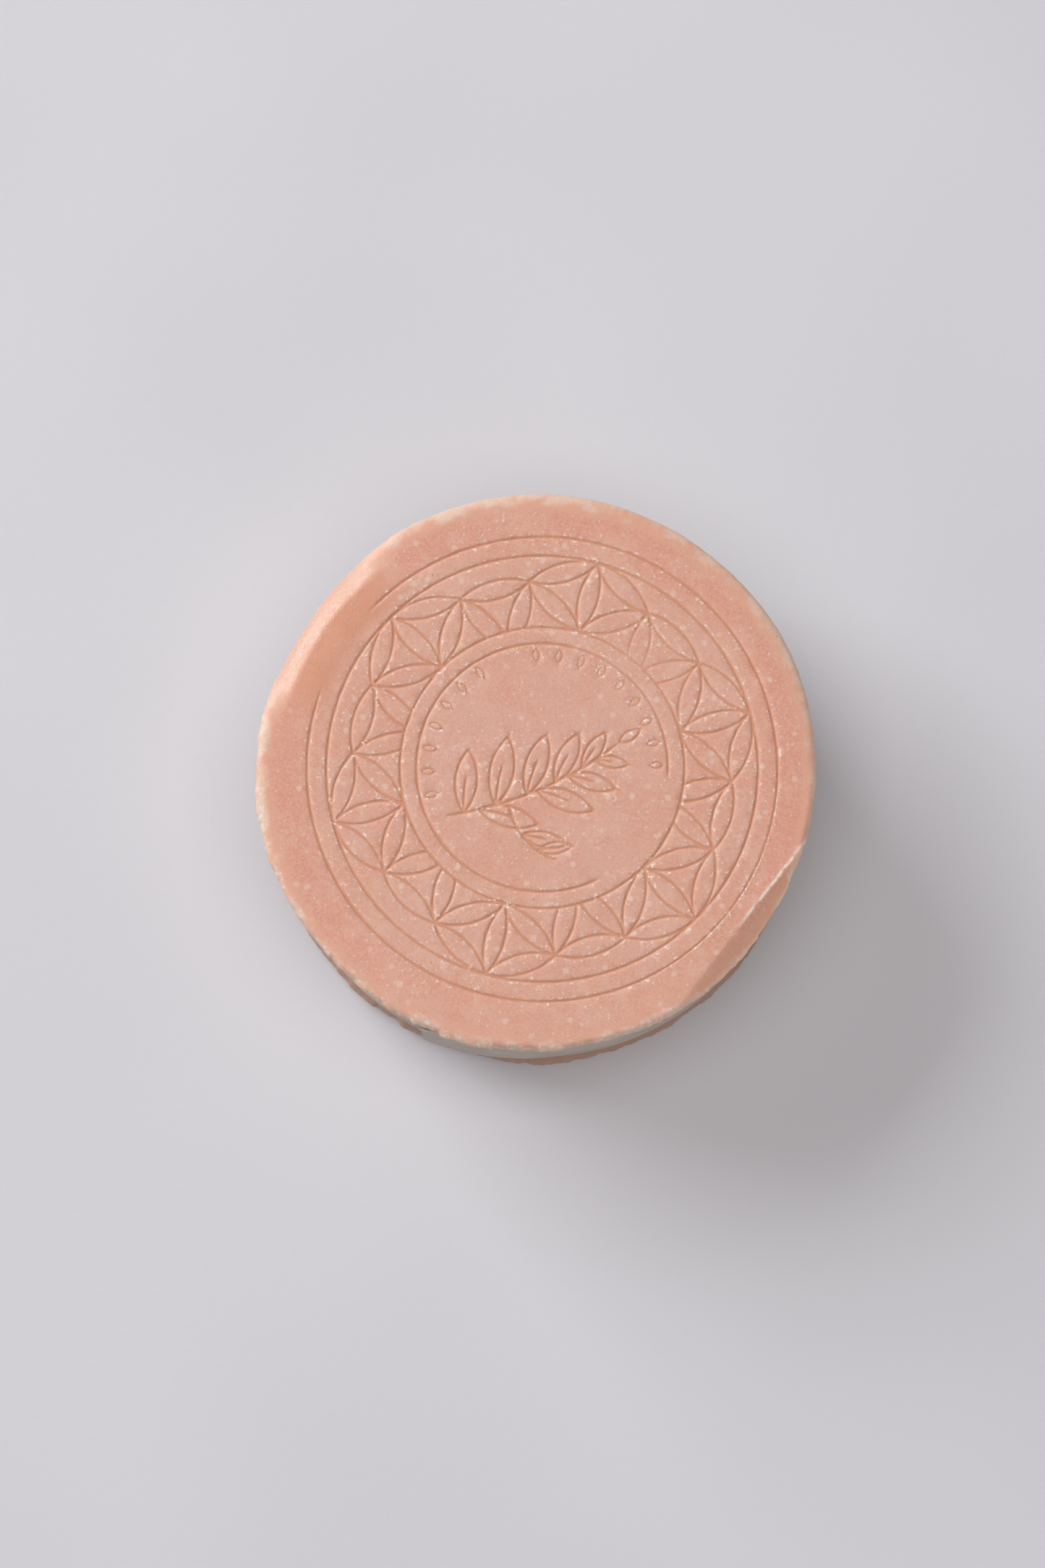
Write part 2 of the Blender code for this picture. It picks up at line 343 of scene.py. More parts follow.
def petals():
    """Arcs of one grid side in radius between neighbouring grid points, outside the inner ring."""
    turn = math.radians(GRID_ANGLE)
    across = np.array(((math.cos(turn), -math.sin(turn)), (math.sin(turn), math.cos(turn))))
    span = range(-GRID_RINGS, GRID_RINGS + 1)
    nodes = {(i, j) for i in span for j in span if abs(i + j) <= GRID_RINGS}

    def place(i, j):
        return across @ np.array((i + j / 2, j * math.sqrt(3) / 2)) * GRID_SIDE

    bulge = GRID_SIDE * (1 - math.sqrt(3) / 2)
    made = []
    for i, j in sorted(nodes):
        for other in ((i + 1, j), (i, j + 1), (i - 1, j + 1)):
            if other in nodes:
                for side in (bulge, -bulge):
                    arc = arc_between(place(i, j), place(*other), side, depth=PETAL_DEPTH)
                    kept = outside_inner_ring(arc)
                    if kept:
                        made.append(kept)
    return made


def outside_inner_ring(arc):
    """The stretch of an arc that lies outside the border's inner ring, or None."""
    share = np.linspace(0, 1, 61)
    out = share[np.hypot(*arc.places(share).T) > BORDER_INNER]
    if len(out) < 6:
        return None
    first, last = out[0], out[-1]
    arc.start += arc.sweep * first
    arc.sweep *= last - first
    return arc


def seed_marks():
    """Small seeds standing on a ring inside the inner arc, in two groups."""
    made = []
    thin = {"half_width": 0.14, "depth": 0.13}
    for first, last, count in SEED_GROUPS:
        for step in range(count):
            angle = first + (last - first) * step / (count - 1)
            way = np.array((math.cos(math.radians(angle)), math.sin(math.radians(angle))))
            made += leaf(way * SEED_RADIUS, angle, 1.75, 0.85, rib=0, **thin)
    return made


def leaves_along(stem, leaves, pen):
    """Leaves that stand off a stem: (share of the way along it, direction, length) each."""
    made = []
    for share, direction, length in leaves:
        base = stem.places(np.array([share]))[0]
        made += leaf(base, direction, length, length * LEAF_WIDTH, **pen)
    return made


def sprig():
    """A sprig of leaves laid across the middle, with a small side shoot."""
    pen = {"half_width": 0.21, "depth": 0.17}
    stem = arc_between(*STEM, -1.7, tapered=True, **pen)
    tip = leaf(STEM[1], 32, 3.2, 1.3, rib=0, **pen)
    root = stem.places(np.array([SHOOT_START]))[0]
    shoot = arc_between(root, SHOOT_TIP, -1.6, tapered=True, **pen)
    made = [stem] + leaves_along(stem, STEM_LEAVES, pen) + tip
    return made + [shoot] + leaves_along(shoot, SHOOT_LEAVES, pen)


GROOVES = rings() + petals() + seed_marks() + sprig()


def pressure(points):
    """How firmly the stamp pressed at each point: weakly towards one side."""
    weak = np.exp(-((points[:, 0] - 12.5) ** 2 + (points[:, 1] - 12.5) ** 2) / (2 * 5.5**2))
    return np.clip(0.92 - 0.62 * weak + 0.16 * lumps(standing(points), 5.0, seed=3), 0.2, 1.1)


def pressed(points):
    """Depth of the grooves, height of the crumbs pushed up beside them, how much of each point is
    in a groove, and how near a groove it is, at stamp-frame points."""
    depth, lip, inside, near_line = (np.zeros(len(points)) for _ in range(4))
    angle = angle_of(points)
    uneven = lumps(standing(points), 0.9, seed=31)
    for groove in GROOVES:
        path = groove.places(np.linspace(0, 1, 25))
        reach = ((points > path.min(0) - 1.6) & (points < path.max(0) + 1.6)).all(1)
        near = np.flatnonzero(reach)
        if not len(near):
            continue
        away, share = groove.reach(points[near])
        strength = np.ones(len(near))
        if groove.tapered:
            strength = smooth(np.minimum(share, 1 - share) * groove.length() / 1.2 + 0.25)
        proud = np.full(len(near), CRUMB_HEIGHT)
        half_width = groove.half_width * (1 + 0.14 * uneven[near])
        if groove.radius == OUTER_RING:
            worn = smooth(1.9 - turn_between(angle[near], WORN_RING_ANGLE) / 9.0)
            rough = smooth(1.5 - turn_between(angle[near], ROUGH_RING_ANGLE) / 26.0)
            strength *= 1 - worn
            outer = np.hypot(*points[near].T) > OUTER_RING
            proud = CRUMB_HEIGHT * (1 - worn) + ROUGH_CRUMB_HEIGHT * rough * outer
            half_width *= 1 - 0.4 * rough
        wall = 1 - smooth((away / half_width - 0.5) / 0.65)
        depth[near] = np.maximum(depth[near], groove.depth * strength * wall)
        inside[near] = np.maximum(inside[near], strength * wall)
        beside = np.exp(-(((away - half_width - 0.1) / 0.12) ** 2))
        lip[near] = np.maximum(lip[near], proud * beside * strength)
        near_line[near] = np.maximum(near_line[near], strength * np.exp(-((away / 0.75) ** 2)))
    return depth, lip, inside, near_line


# ---------------------------------------------------------------- the soap


def eased_rise(distance, width):
    """The height of a slope of 1 that eases in over a width, at each distance from its start."""
    share = np.clip(distance / width, 0, 1)
    return width * (share**3 - share**4 / 2) + np.maximum(distance - width, 0)


def across_press(angle):
    """1 abreast of the middle of the pressed place, falling to 0 at its ends."""
    return smooth((1 - turn_between(angle, PRESS_ANGLE) / PRESS_HALF_ANGLE) * 1.5)


def edge_drop(radius, angle):
    """How far the pressed place lowers the top edge, and how strongly it is felt."""
    across = across_press(angle)
    drop = sum(slope * eased_rise(radius - start, width) for start, width, slope in PRESS_SLOPES)
    return across * drop, across * growing(radius, PRESS_MARK)


def facet_out(points):
    """How far (x, y) points are beyond the ridge of the worn facet."""
    turn = math.radians(FACET_ANGLE)
    return points[:, 0] * math.cos(turn) + points[:, 1] * math.sin(turn) - FACET_DISTANCE


def facet_softness(points):
    """How rounded the facet's ridge is abreast of each point: crisp at its far end, soft nearer."""
    turn = math.radians(FACET_ANGLE)
    along = points[:, 1] * math.cos(turn) - points[:, 0] * math.sin(turn)
    return smooth((3.5 - along) / 5.0)


def ridge_rows():
    """Rows of (x, y) points along the facet's ridge and beside it."""
    turn = math.radians(FACET_ANGLE)
    out = np.array((math.cos(turn), math.sin(turn)))
    along = np.array((-math.sin(turn), math.cos(turn)))
    count = math.ceil(2 * FACET_HALF_LENGTH / GROOVE_STEP)
    steps = np.linspace(-FACET_HALF_LENGTH, FACET_HALF_LENGTH, count + 1)
    for offset in RIDGE_ROWS:
        yield (FACET_DISTANCE + offset) * out + steps[:, None] * along


def filling(step, inner, outer):
    """A triangular grid of (x, y) points between two radii."""
    rows = int(outer / (step * 0.866)) + 1
    i, j = np.meshgrid(np.arange(-rows, rows + 1), np.arange(-rows, rows + 1))
    grid = np.stack([(i + j % 2 / 2) * step, j * step * 0.866], -1).reshape(-1, 2)
    radius = np.hypot(*grid.T)
    return grid[(radius >= inner) & (radius < outer)]


def top_points():
    """(x, y) points of the top inside the margin circle: rows along each groove and the facet's
    ridge, and a filling between them."""
    kept = {}

    def room(x, y):
        column, row = int(x // CLOSEST), int(y // CLOSEST)
        for i in (column - 1, column, column + 1):
            for j in (row - 1, row, row + 1):
                for px, py in kept.get((i, j), ()):
                    if (px - x) ** 2 + (py - y) ** 2 < CLOSEST**2:
                        return False
        kept.setdefault((column, row), []).append((x, y))
        return True

    lines = []
    for offset in GROOVE_ROWS:
        for groove in GROOVES:
            count = max(3, math.ceil(groove.length() / GROOVE_STEP))
            share = (np.arange(count + 1) + (0.5 if offset else 0.0)) / count
            narrow = groove.half_width / GROOVE_HALF_WIDTH
            lines.append(groove.places(share[share <= 1], offset * narrow) + STAMP_CENTRE)
    lines += list(ridge_rows())
    inner = MARGIN_RADIUS - 0.15
    given = (point for line in lines for point in line)
    chosen = [(x, y) for x, y in given if math.hypot(x, y) < inner and room(x, y)]
    split = OUTER_RING + 1.4
    field = np.concatenate([
        filling(FILL_STEP, 0.0, split), filling(MARGIN_FILL_STEP, split, MARGIN_RADIUS - 0.28),
    ])
    clear = nearest_groove(field - STAMP_CENTRE) > 0.55
    clear &= (np.abs(facet_out(field)) > 0.8) | (turn_between(angle_of(field), FACET_ANGLE) > 22)
    return np.array(chosen + field[clear].tolist())


def nearest_groove(points):
    """Distance from each stamp-frame point to the nearest groove's line."""
    nearest = np.full(len(points), 9.0)
    for groove in GROOVES:
        nearest = np.minimum(nearest, groove.reach(points)[0])
    return nearest


def torn(angle):
    """How ragged the edge is at each angle: torn on the near side, soft on the far side."""
    most = TORN_LEAST
    for middle, fade, reach, strength in TORN_PLACES:
        most = np.maximum(most, strength * smooth(reach - turn_between(angle, middle) / fade))
    return most


def flaked(angle, seed):
    """Steps in and out round an edge, where flakes broke away."""
    random = np.random.default_rng(seed)
    starts = np.cumsum(random.uniform(2.0, 9.0, 60))
    levels = random.uniform(-1.0, 0.6, 61)
    levels[-1] = levels[0]
    starts = starts[starts < 358]
    steps = np.full(len(angle), levels[0])
    for start, low, high in zip(starts, levels, levels[1:]):
        steps += (high - low) * smooth((angle - start) / 0.7 + 0.5)
    return steps + (levels[0] - levels[len(starts)]) * smooth((angle - 358) / 1.5)


def ragged(angle, seed, spread):
    """Chips and tags round an edge at each angle: fine teeth, flakes and a few deep bites."""
    turn = np.radians(angle)
    ring = np.c_[np.cos(turn), np.sin(turn), np.zeros(len(turn))] * RIM_RADIUS
    teeth = 0.3 * lumps(ring, 0.8, seed, octaves=2) + 0.35 * lumps(ring, 2.0, seed + 1)
    bites = np.clip(lumps(ring, 4.5, seed + 4) - 0.45, 0, 1)
    return spread * torn(angle) * (teeth + 0.9 * flaked(angle, seed) - 1.6 * bites)


def top_sheet(ring):
    """The top's (x, y) points and faces, and which points make its outer ring, in order."""
    given = np.concatenate([ring * MARGIN_RADIUS, top_points()])
    made = geometry.delaunay_2d_cdt([Vector(p) for p in given.tolist()], [], [], 0, 1e-7)
    outer = np.empty(COLUMNS, int)
    for index, sources in enumerate(made[3]):
        if sources[0] < COLUMNS:
            outer[sources[0]] = index
    return np.array([tuple(p) for p in made[0]]), [tuple(face) for face in made[2]], outer


def side_rows(angles):
    """The rings of points below the top, down to the base: (radii, height, edge mark) each."""
    rim_move = wander(TOP_RIM_WANDER, angles)
    tatter = ragged(angles, 2, TOP_TATTER)
    for radius, below in RIM_PROFILE[1:]:
        ease = 1.0
        if below < 1.2:
            ease = smooth((radius - MARGIN_RADIUS) / (RIM_RADIUS - MARGIN_RADIUS))
        back = smooth((radius - WAIST_RADIUS) / 1.2)
        sharp = math.exp(-(((below - 0.75) / 0.75) ** 2))
        edge = float(growing(radius, EDGE_MARK)) if below < 1.4 else EDGE_MARK_UNDER_RIM
        yield radius + rim_move * ease * back + tatter * sharp * ease, TOP - below, edge
    for height in (BAND_TOP + 0.1, BAND_TOP - 1.0, (BAND_TOP + BAND_BOTTOM) / 2, BAND_BOTTOM + 1.0):
        yield np.full(COLUMNS, WAIST_RADIUS), height, EDGE_MARK_ON_WAIST
    lower_move = wander(LOWER_RIM_WANDER, angles) + ragged(angles, 9, LOWER_TATTER)
    for share, height in LOWER_PROFILE:
        radii = WAIST_RADIUS + (LOWER_RIM_RADIUS + lower_move - WAIST_RADIUS) * share
        yield radii, height, EDGE_MARK_ON_LOWER_RIM * share
    for radius in BASE_RADII:
        yield np.full(COLUMNS, radius), 0.0, 0.0


def soap_mesh():
    """The whole puck as one closed mesh, with the marks that its material needs."""
    angles = np.arange(COLUMNS) * 360.0 / COLUMNS
    ring = np.c_[np.cos(np.radians(angles)), np.sin(np.radians(angles))]
    flat, faces, above = top_sheet(ring)
    firm = pressure(flat - STAMP_CENTRE)
    depth, lip, inside, near_line = pressed(flat - STAMP_CENTRE)
    crumb = np.clip(lumps(standing(flat), 0.7, seed=21) + 0.3, 0, 1.5)
    radius = np.hypot(*flat.T)
    edge_round = growing(radius, EDGE_ROUND) * RIM_PROFILE[0][1]
    level = [np.c_[flat, TOP - depth * firm + lip * crumb - edge_round]]
    edge_mark = [growing(radius, EDGE_MARK)]
    total = len(flat)
    after = np.roll(np.arange(COLUMNS), -1)
    for radii, height, edge in side_rows(angles):
        level.append(np.c_[ring * radii[:, None], np.full(COLUMNS, height)])
        edge_mark.append(np.full(COLUMNS, edge))
        below = total + np.arange(COLUMNS)
        faces += list(zip(above, below, below[after], above[after]))
        above = below
        total += COLUMNS
    faces.append(tuple(above))
    points = np.concatenate(level)
    rest = np.zeros(total - len(flat))
    marks = finish_surface(points)
    marks["groove"] = np.concatenate([inside * np.clip(firm + 0.25, 0, 1), rest])
    marks["crumb"] = np.concatenate([np.clip(lip * crumb / 0.06, 0, 1), rest])
    marks["near"] = np.concatenate([near_line, rest])
    marks["edge"] = np.concatenate(edge_mark)
    marks["torn"] = torn(angle_of(points))
    return points, faces, marks


def finish_surface(points):
    """Moves the points for the pressed edge, the soap's own unevenness and the facet, in place,
    and returns the marks of those places."""
    radius = np.hypot(points[:, 0], points[:, 1])
    angle = angle_of(points)
    upper = smooth((points[:, 2] - BAND_TOP + 0.2) / (TOP - BAND_TOP - 1.0))
    drop, press = edge_drop(radius, angle)
    points[:, 2] -= drop * upper
    swell_points(points, radius, upper, press)
    # painted highlight: a pale strip along the outer part of the pressed edge
    strip = across_press(angle) * upper * growing(radius, HIGHLIGHT_STRIP)
    facet, ridge = cut_facet(points, angle)
    return {"press": press * upper, "facet": facet, "ridge": ridge, "strip": strip}


def swell_points(points, radius, upper, press):
    """Moves the points a little in or out and up or down, but not those against the paper."""
    free = np.where(points[:, 2] > TOP / 2, upper, smooth((radius - WAIST_RADIUS) / 0.8))
    free *= points[:, 2] > 0.02
    swell = BROAD_SWELL * lumps(points, 9.0, seed=5) + SMALL_SWELL * lumps(points, 2.6, seed=6)
    outward = np.c_[points[:, :2] / np.maximum(radius, 1e-6)[:, None], np.zeros(len(points))]
    side = smooth((radius - 36.6) / 0.8)
    grain = GRAIN * lumps(points, 1.0, seed=7) * side * (1 - 0.5 * press)
    points += outward * ((swell + grain) * side * free)[:, None]
    points[:, 2] += (swell + grain) * free * (1 - 0.6 * side)


def cut_facet(points, angle):
    """Cuts the worn facet and raises its ridge, in place, and returns the marks of both."""
    out, soft = facet_out(points), facet_softness(points)
    plane = TOP - out * math.tan(math.radians(FACET_SLOPE)) + 0.03 * lumps(points, 2.2, seed=8)
    faced = (turn_between(angle, FACET_ANGLE) < FACET_HALF_ANGLE) & (points[:, 2] > BAND_TOP)
    ridge = np.exp(-(((out + 0.12) / 0.2) ** 2)) * faced * (1 - 0.85 * soft)
    points[:, 2] += RIDGE_HEIGHT * ridge * np.clip(0.6 + lumps(points, 1.5, seed=11), 0, 1.4)
    cut = np.where(faced, points[:, 2] - plane, -1.0)
    blend = CRISP_RIDGE_BLEND + SOFT_RIDGE_BLEND * soft
    points[:, 2] -= eased_rise(cut + blend / 2, blend)
    return smooth(cut / 0.06 + 0.3) * smooth(out / 0.4), ridge


# ---------------------------------------------------------------- paper and tape


def ripple(angle, up):
    """How far the paper stands out at an angle and share of its height, beyond its least."""
    turn = math.radians(angle)
    return 0.02 + 0.02 * noise.noise(Vector((5 * math.cos(turn), 5 * math.sin(turn), up * 1.5)))


def edge_line(angle, height, seed):
    """The height of the paper's cut edge at an angle: level but for a slight wander."""
    turn = math.radians(angle)
    return height + 0.08 * noise.noise(Vector((3 * math.cos(turn), 3 * math.sin(turn), seed)))


def strip_mesh(start, end, step, rows, thickness, radius_at, low, high):
    """A closed strip of sheet standing on edge round the waist, from one angle to another.
    radius_at(angle, share of its height) is its inner face; low and high are its edges' heights."""
    count = math.ceil(abs(end - start) / step)
    points, faces = [], []
    for face in (0.0, thickness):
        for row in range(rows + 1):
            up = row / rows
            for i in range(count + 1):
                angle = start + (end - start) * i / count
                turn = math.radians(angle)
                radius = radius_at(angle, up) + face
                bottom, top = edge_line(angle, low, 1.5), edge_line(angle, high, 7.5)
                height = bottom + (top - bottom) * up
                points.append((radius * math.cos(turn), radius * math.sin(turn), height))
    wide = count + 1
    layer = wide * (rows + 1)
    for row in range(rows):
        for i in range(count):
            a, b = row * wide + i, row * wide + i + 1
            c, d = b + wide, a + wide
            faces.append((a, b, c, d))
            faces.append((layer + a, layer + d, layer + c, layer + b))
        for a, b in ((row * wide, (row + 1) * wide), ((row + 2) * wide - 1, (row + 1) * wide - 1)):
            faces.append((a, b, layer + b, layer + a))
    for i in range(count):
        top = rows * wide + i
        faces.append((i, layer + i, layer + i + 1, i + 1))
        faces.append((top, top + 1, layer + top + 1, layer + top))
    if end > start:
        faces = [face[::-1] for face in faces]
    return points, faces


def band_radius(angle, up):
    climb = smooth((RAMP_START - angle) / (RAMP_START - RAMP_END))
    return BAND_RADIUS + (LAP_RADIUS - BAND_RADIUS) * float(climb) + ripple(angle, up)


def add_mesh(name, points, faces, marks=None, sharp_angle=None):
    mesh = bpy.data.meshes.new(name)
    scaled = (np.asarray(points, float) * MM).tolist()
    mesh.from_pydata(scaled, [], [tuple(int(i) for i in face) for face in faces])
    mesh.validate()
    for key, values in (marks or {}).items():
        layer = mesh.attributes.new(key, "FLOAT", "POINT")
        layer.data.foreach_set("value", np.asarray(values, np.float32))
    mesh.shade_smooth()
    if sharp_angle:
        mesh.set_sharp_from_angle(angle=math.radians(sharp_angle))
    obj = bpy.data.objects.new(name, mesh)
    bpy.context.scene.collection.objects.link(obj)
    return obj


# ---------------------------------------------------------------- materials


class Paint:
    """A material's node tree, with short ways to add and join nodes."""

    def __init__(self, name):
        self.material = bpy.data.materials.new(name)
        self.material.use_nodes = True
        self.tree = self.material.node_tree
        self.shader = self.tree.nodes["Principled BSDF"]
        self.coordinates = self.add("ShaderNodeTexCoord").outputs["Object"]

    def add(self, kind, **values):
        node = self.tree.nodes.new(kind)
        for key, value in values.items():
            setattr(node, key, value)
        return node

    def feed(self, socket, value):
        if isinstance(value, bpy.types.NodeSocket):
            self.tree.links.new(value, socket)
        else:
            socket.default_value = value

    def texture(self, kind, size, shift):
        """A texture node of that size in mm, moved aside so that no two of them line up."""
        node = self.add(kind)
        place = self.add("ShaderNodeMapping")
        self.feed(place.inputs["Vector"], self.coordinates)
        place.inputs["Location"].default_value = (shift, shift * 0.7, shift * 1.3)
        self.feed(node.inputs["Vector"], place.outputs[0])
        node.inputs["Scale"].default_value = 1 / (size * MM)
        return node

    def noise(self, size, detail=2.0, roughness=0.5, shift=0.0):
        node = self.texture("ShaderNodeTexNoise", size, shift)
        node.inputs["Detail"].default_value = detail
        node.inputs["Roughness"].default_value = roughness
        return node.outputs["Fac"]

    def specks(self, size, small, large, bare, shift):
        """Round spots in cells of that many mm: full within small cell sizes, gone by large. bare
        is the share of the cells that have none."""
        cells = self.texture("ShaderNodeTexVoronoi", size, shift)
        shape = self.ramp(cells.outputs["Distance"], small, large, 1.0, 0.0)
        return self.math("MULTIPLY", shape, self.ramp(cells.outputs["Color"], bare, bare + 0.06))

    def mark(self, name):
        return self.add("ShaderNodeAttribute", attribute_name=name).outputs["Fac"]

    def math(self, operation, a, b=0.0):
        node = self.add("ShaderNodeMath", operation=operation)
        node.use_clamp = operation != "SUBTRACT"
        self.feed(node.inputs[0], a)
        self.feed(node.inputs[1], b)
        return node.outputs[0]

    def ramp(self, value, low, high, start=0.0, end=1.0):
        """start below low, end above high, and easing in between."""
        node = self.add("ShaderNodeMapRange", interpolation_type="SMOOTHSTEP")
        self.feed(node.inputs["Value"], value)
        node.inputs["From Min"].default_value = low
        node.inputs["From Max"].default_value = high
        node.inputs["To Min"].default_value = start
        node.inputs["To Max"].default_value = end
        return node.outputs["Result"]

    def mix(self, share, a, b):
        node = self.add("ShaderNodeMix", data_type="RGBA")
        self.feed(node.inputs[0], share)
        self.feed(node.inputs[6], a if isinstance(a, bpy.types.NodeSocket) else (*a, 1.0))
        self.feed(node.inputs[7], b if isinstance(b, bpy.types.NodeSocket) else (*b, 1.0))
        return node.outputs[2]

    def over(self, colour, share, most, top):
        """The colour with another laid over it, at a share of its most."""
        return self.mix(self.math("MULTIPLY", share, most), colour, top)

    def bump(self, height, distance, normal=None):
        node = self.add("ShaderNodeBump")
        node.inputs["Strength"].default_value = 1.0
        node.inputs["Distance"].default_value = distance * MM
        self.feed(node.inputs["Height"], height)
        if normal:
            self.feed(node.inputs["Normal"], normal)
        return node.outputs[0]


def soap_material():
    """Peach-pink cast soap: mottled and a little translucent, with ash, crumbs and fine specks."""
    paint = Paint("soap")
    flat = paint.add("ShaderNodeVectorMath", operation="MULTIPLY")
    paint.feed(flat.inputs[0], paint.coordinates)
    flat.inputs[1].default_value = (1.0, 1.0, 0.0)
    from_axis = paint.add("ShaderNodeVectorMath", operation="LENGTH")
    paint.feed(from_axis.inputs[0], flat.outputs[0])
    wide_noise = paint.noise(7.0, 3.0, 0.6)
    blur = paint.math("MULTIPLY", wide_noise, 0.004)
    outer = paint.ramp(paint.math("ADD", from_axis.outputs["Value"], blur), 0.0305, 0.0355)

    place = paint.add("ShaderNodeSeparateXYZ")
    paint.feed(place.inputs[0], paint.coordinates)
    nearer = paint.ramp(place.outputs["Y"], -0.034, -0.018, 1.0, 0.0)
    margin = paint.mix(nearer, SOAP["margin"], SOAP["near margin"])
    colour = paint.mix(outer, SOAP["middle"], margin)
    mottle = paint.ramp(paint.noise(15.0, 2.0, shift=0.3), 0.38, 0.66, 0.0, 0.55)
    colour = paint.mix(mottle, colour, SOAP["mottle"])
    cloud = paint.ramp(paint.noise(3.4, 3.0, 0.6, shift=0.5), 0.45, 0.7, 0.0, 0.55)
    colour = paint.mix(cloud, colour, SOAP["cloud"])
    blush = paint.ramp(paint.noise(2.2, 3.0, 0.6, shift=0.9), 0.5, 0.72, 0.0, 0.5)
    colour = paint.mix(blush, colour, SOAP["blush"])
    grain = paint.ramp(paint.noise(0.36, 3.0, 0.75, shift=1.3), 0.4, 0.66, 0.0, 0.5)
    colour = paint.mix(grain, colour, SOAP["grain"])
    dark_grain = paint.ramp(paint.noise(0.3, 2.0, 0.7, shift=1.9), 0.5, 0.72, 0.0, 0.4)
    colour = paint.mix(dark_grain, colour, SOAP["dark grain"])

    specks = paint.specks(0.95, 0.1, 0.2, 0.45, 2.9)
    blobs = paint.specks(2.3, 0.1, 0.26, 0.4, 3.3)
    colour = paint.over(colour, specks, 0.6, SOAP["specks"])
    colour = paint.over(colour, blobs, 0.42, SOAP["blobs"])

    scuff_noise = paint.ramp(paint.noise(0.55, 3.0, 0.75, shift=4.1), 0.53, 0.68)
    scuff_place = paint.ramp(paint.noise(4.5, 2.0, shift=4.6), 0.5, 0.68)
    scuff_near = paint.math("ADD", scuff_place, paint.math("MULTIPLY", paint.mark("near"), 0.3))
    scuff = paint.math("MULTIPLY", scuff_noise, scuff_near)
    colour = paint.over(colour, scuff, 0.7, SOAP["scuff"])

    groove = paint.ramp(paint.mark("groove"), 0.15, 0.85)
    colour = paint.over(colour, groove, 0.85, SOAP["groove"])

    press = paint.mark("press")
    unpressed = paint.math("SUBTRACT", 1.0, press)
    warm = paint.math("MULTIPLY", press, paint.ramp(wide_noise, 0.3, 0.7, 0.7, 0.95))
    colour = paint.mix(warm, colour, SOAP["press"])
    # painted highlight: a pale, grainy strip along the pressed edge, where the window light glints
    strip = paint.mark("strip")
    grainy = paint.ramp(paint.noise(0.5, 3.0, 0.7, shift=5.0), 0.35, 0.62, 0.45, 1.0)
    painted_highlight = paint.math("MULTIPLY", strip, grainy)

    edge = paint.mark("edge")
    at_edge, unclouded = paint.ramp(edge, 0.1, 0.6), paint.ramp(cloud, 0.0, 0.5, 0.75, 0.35)
    peach = paint.math("MULTIPLY", at_edge, unclouded)
    colour = paint.mix(peach, colour, SOAP["peach"])
    cream_noise = paint.ramp(paint.noise(2.6, 4.0, 0.65, shift=5.2), 0.3, 0.7, 0.0, 0.45)
    cream = paint.ramp(paint.math("SUBTRACT", edge, cream_noise), 0.3, 0.85)
    cream = paint.math("MULTIPLY", cream, paint.math("ADD", unpressed, 0.35))
    colour = paint.over(colour, cream, 0.9, SOAP["cream"])
    # painted highlight laid over the pressed edge
    colour = paint.mix(painted_highlight, colour, SOAP["strip"])
    curd_patch = paint.ramp(paint.noise(0.6, 3.0, 0.7, shift=5.8), 0.5, 0.64)
    curd = paint.math("MULTIPLY", paint.math("MULTIPLY", cream, curd_patch), paint.mark("torn"))
    colour = paint.over(colour, curd, 0.7, SOAP["curd"])

    facet_patch = paint.ramp(paint.noise(3.2, 2.0, shift=6.3), 0.4, 0.6, 0.1, 0.9)
    facet = paint.math("MULTIPLY", paint.mark("facet"), facet_patch)
    colour = paint.over(colour, facet, 0.65, SOAP["facet"])
    ridge_patch = paint.ramp(paint.noise(1.1, 2.0, shift=6.9), 0.35, 0.6, 0.3, 1.0)
    ridge = paint.math("MULTIPLY", paint.mark("ridge"), ridge_patch)
    colour = paint.over(colour, ridge, 0.95, SOAP["ridge"])

    crumb_noise = paint.ramp(paint.noise(0.4, 2.0, 0.6, shift=7.4), 0.48, 0.6)
    crumb = paint.math("MULTIPLY", paint.ramp(paint.mark("crumb"), 0.3, 0.9), crumb_noise)
    colour = paint.over(colour, crumb, 0.9, SOAP["crumb"])

    # painted shade: up to 3.5 mm above the floor the colour is darkened and browned, fading out by
    # 4.5 mm, over the lower rim
    base = paint.ramp(place.outputs["Z"], 0.0035, 0.0045, 0.65, 0.0)
    colour = paint.mix(base, colour, SOAP["base"])

    dots = paint.specks(3.1, 0.015, 0.04, 0.4, 8.1)
    colour = paint.over(colour, dots, 0.8, SOAP["dots"])
    paint.feed(paint.shader.inputs["Base Color"], colour)

    rough = paint.ramp(paint.noise(1.3, 3.0, shift=8.8), 0.3, 0.7, 0.46, 0.6)
    rough = paint.math("SUBTRACT", rough, paint.math("MULTIPLY", press, 0.23))
    paint.feed(paint.shader.inputs["Roughness"], rough)
    fine = paint.bump(paint.noise(0.22, 3.0, 0.65, shift=9.4), 0.012)
    sparkle = paint.math("MULTIPLY", paint.noise(0.3, 3.0, 0.65, shift=9.9), press)
    fine = paint.bump(sparkle, 0.06, fine)
    pits = paint.bump(paint.noise(0.8, 2.0, 0.5, shift=10.3), 0.025, fine)
    raised = paint.math("ADD", paint.math("ADD", specks, blobs), paint.math("ADD", scuff, crumb))
    paint.feed(paint.shader.inputs["Normal"], paint.bump(raised, 0.02, pits))
    paint.shader.inputs["Subsurface Weight"].default_value = 0.4
    paint.shader.inputs["Subsurface Radius"].default_value = (1.0, 0.42, 0.22)
    paint.shader.inputs["Subsurface Scale"].default_value = 0.0016
    paint.shader.inputs["IOR"].default_value = 1.48
    return paint.material


